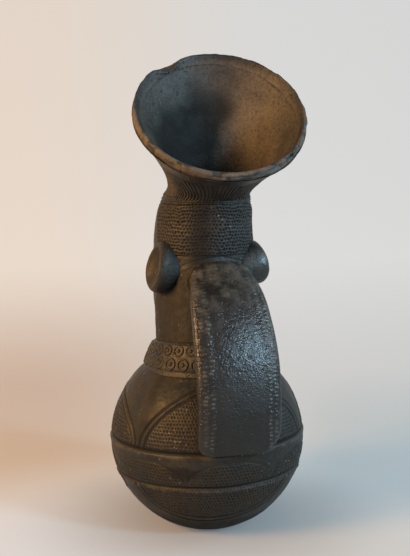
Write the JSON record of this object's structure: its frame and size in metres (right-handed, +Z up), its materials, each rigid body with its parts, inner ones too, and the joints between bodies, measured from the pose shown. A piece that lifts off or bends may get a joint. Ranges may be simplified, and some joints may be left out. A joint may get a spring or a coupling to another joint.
{
  "type": "anthropomorphic jug",
  "caption": "Hand-built dark clay jug: a head on a round belly, with a flared headdress as its mouth and a broad strap handle at the back.",
  "frame": {"origin": "middle of the flat foot that the jug stands on", "axes": "+Z up along the belly's axis; the face looks along -Y and the strap handle is on the +Y side; +X is the figure's left"},
  "size_m": [0.1078, 0.1115, 0.2595],
  "materials": {
    "burnished_clay": "satin",
    "worked_clay": "matte"
  },
  "bodies": {
    "root": {"belly_bowl": "burnished_clay", "belly_shoulder": "burnished_clay", "neck_tube": "burnished_clay", "rim_coil": "burnished_clay", "left_ear": "burnished_clay", "right_ear": "burnished_clay", "nose": "burnished_clay", "upper_lip": "burnished_clay", "lower_lip": "burnished_clay", "left_eye": "burnished_clay", "right_eye": "burnished_clay", "left_brow": "burnished_clay", "right_brow": "burnished_clay", "chin": "burnished_clay", "collar_band": "worked_clay", "head_shell": "worked_clay", "coiffure_funnel": "worked_clay", "handle_strap": "worked_clay"}
  },
  "joints": []
}
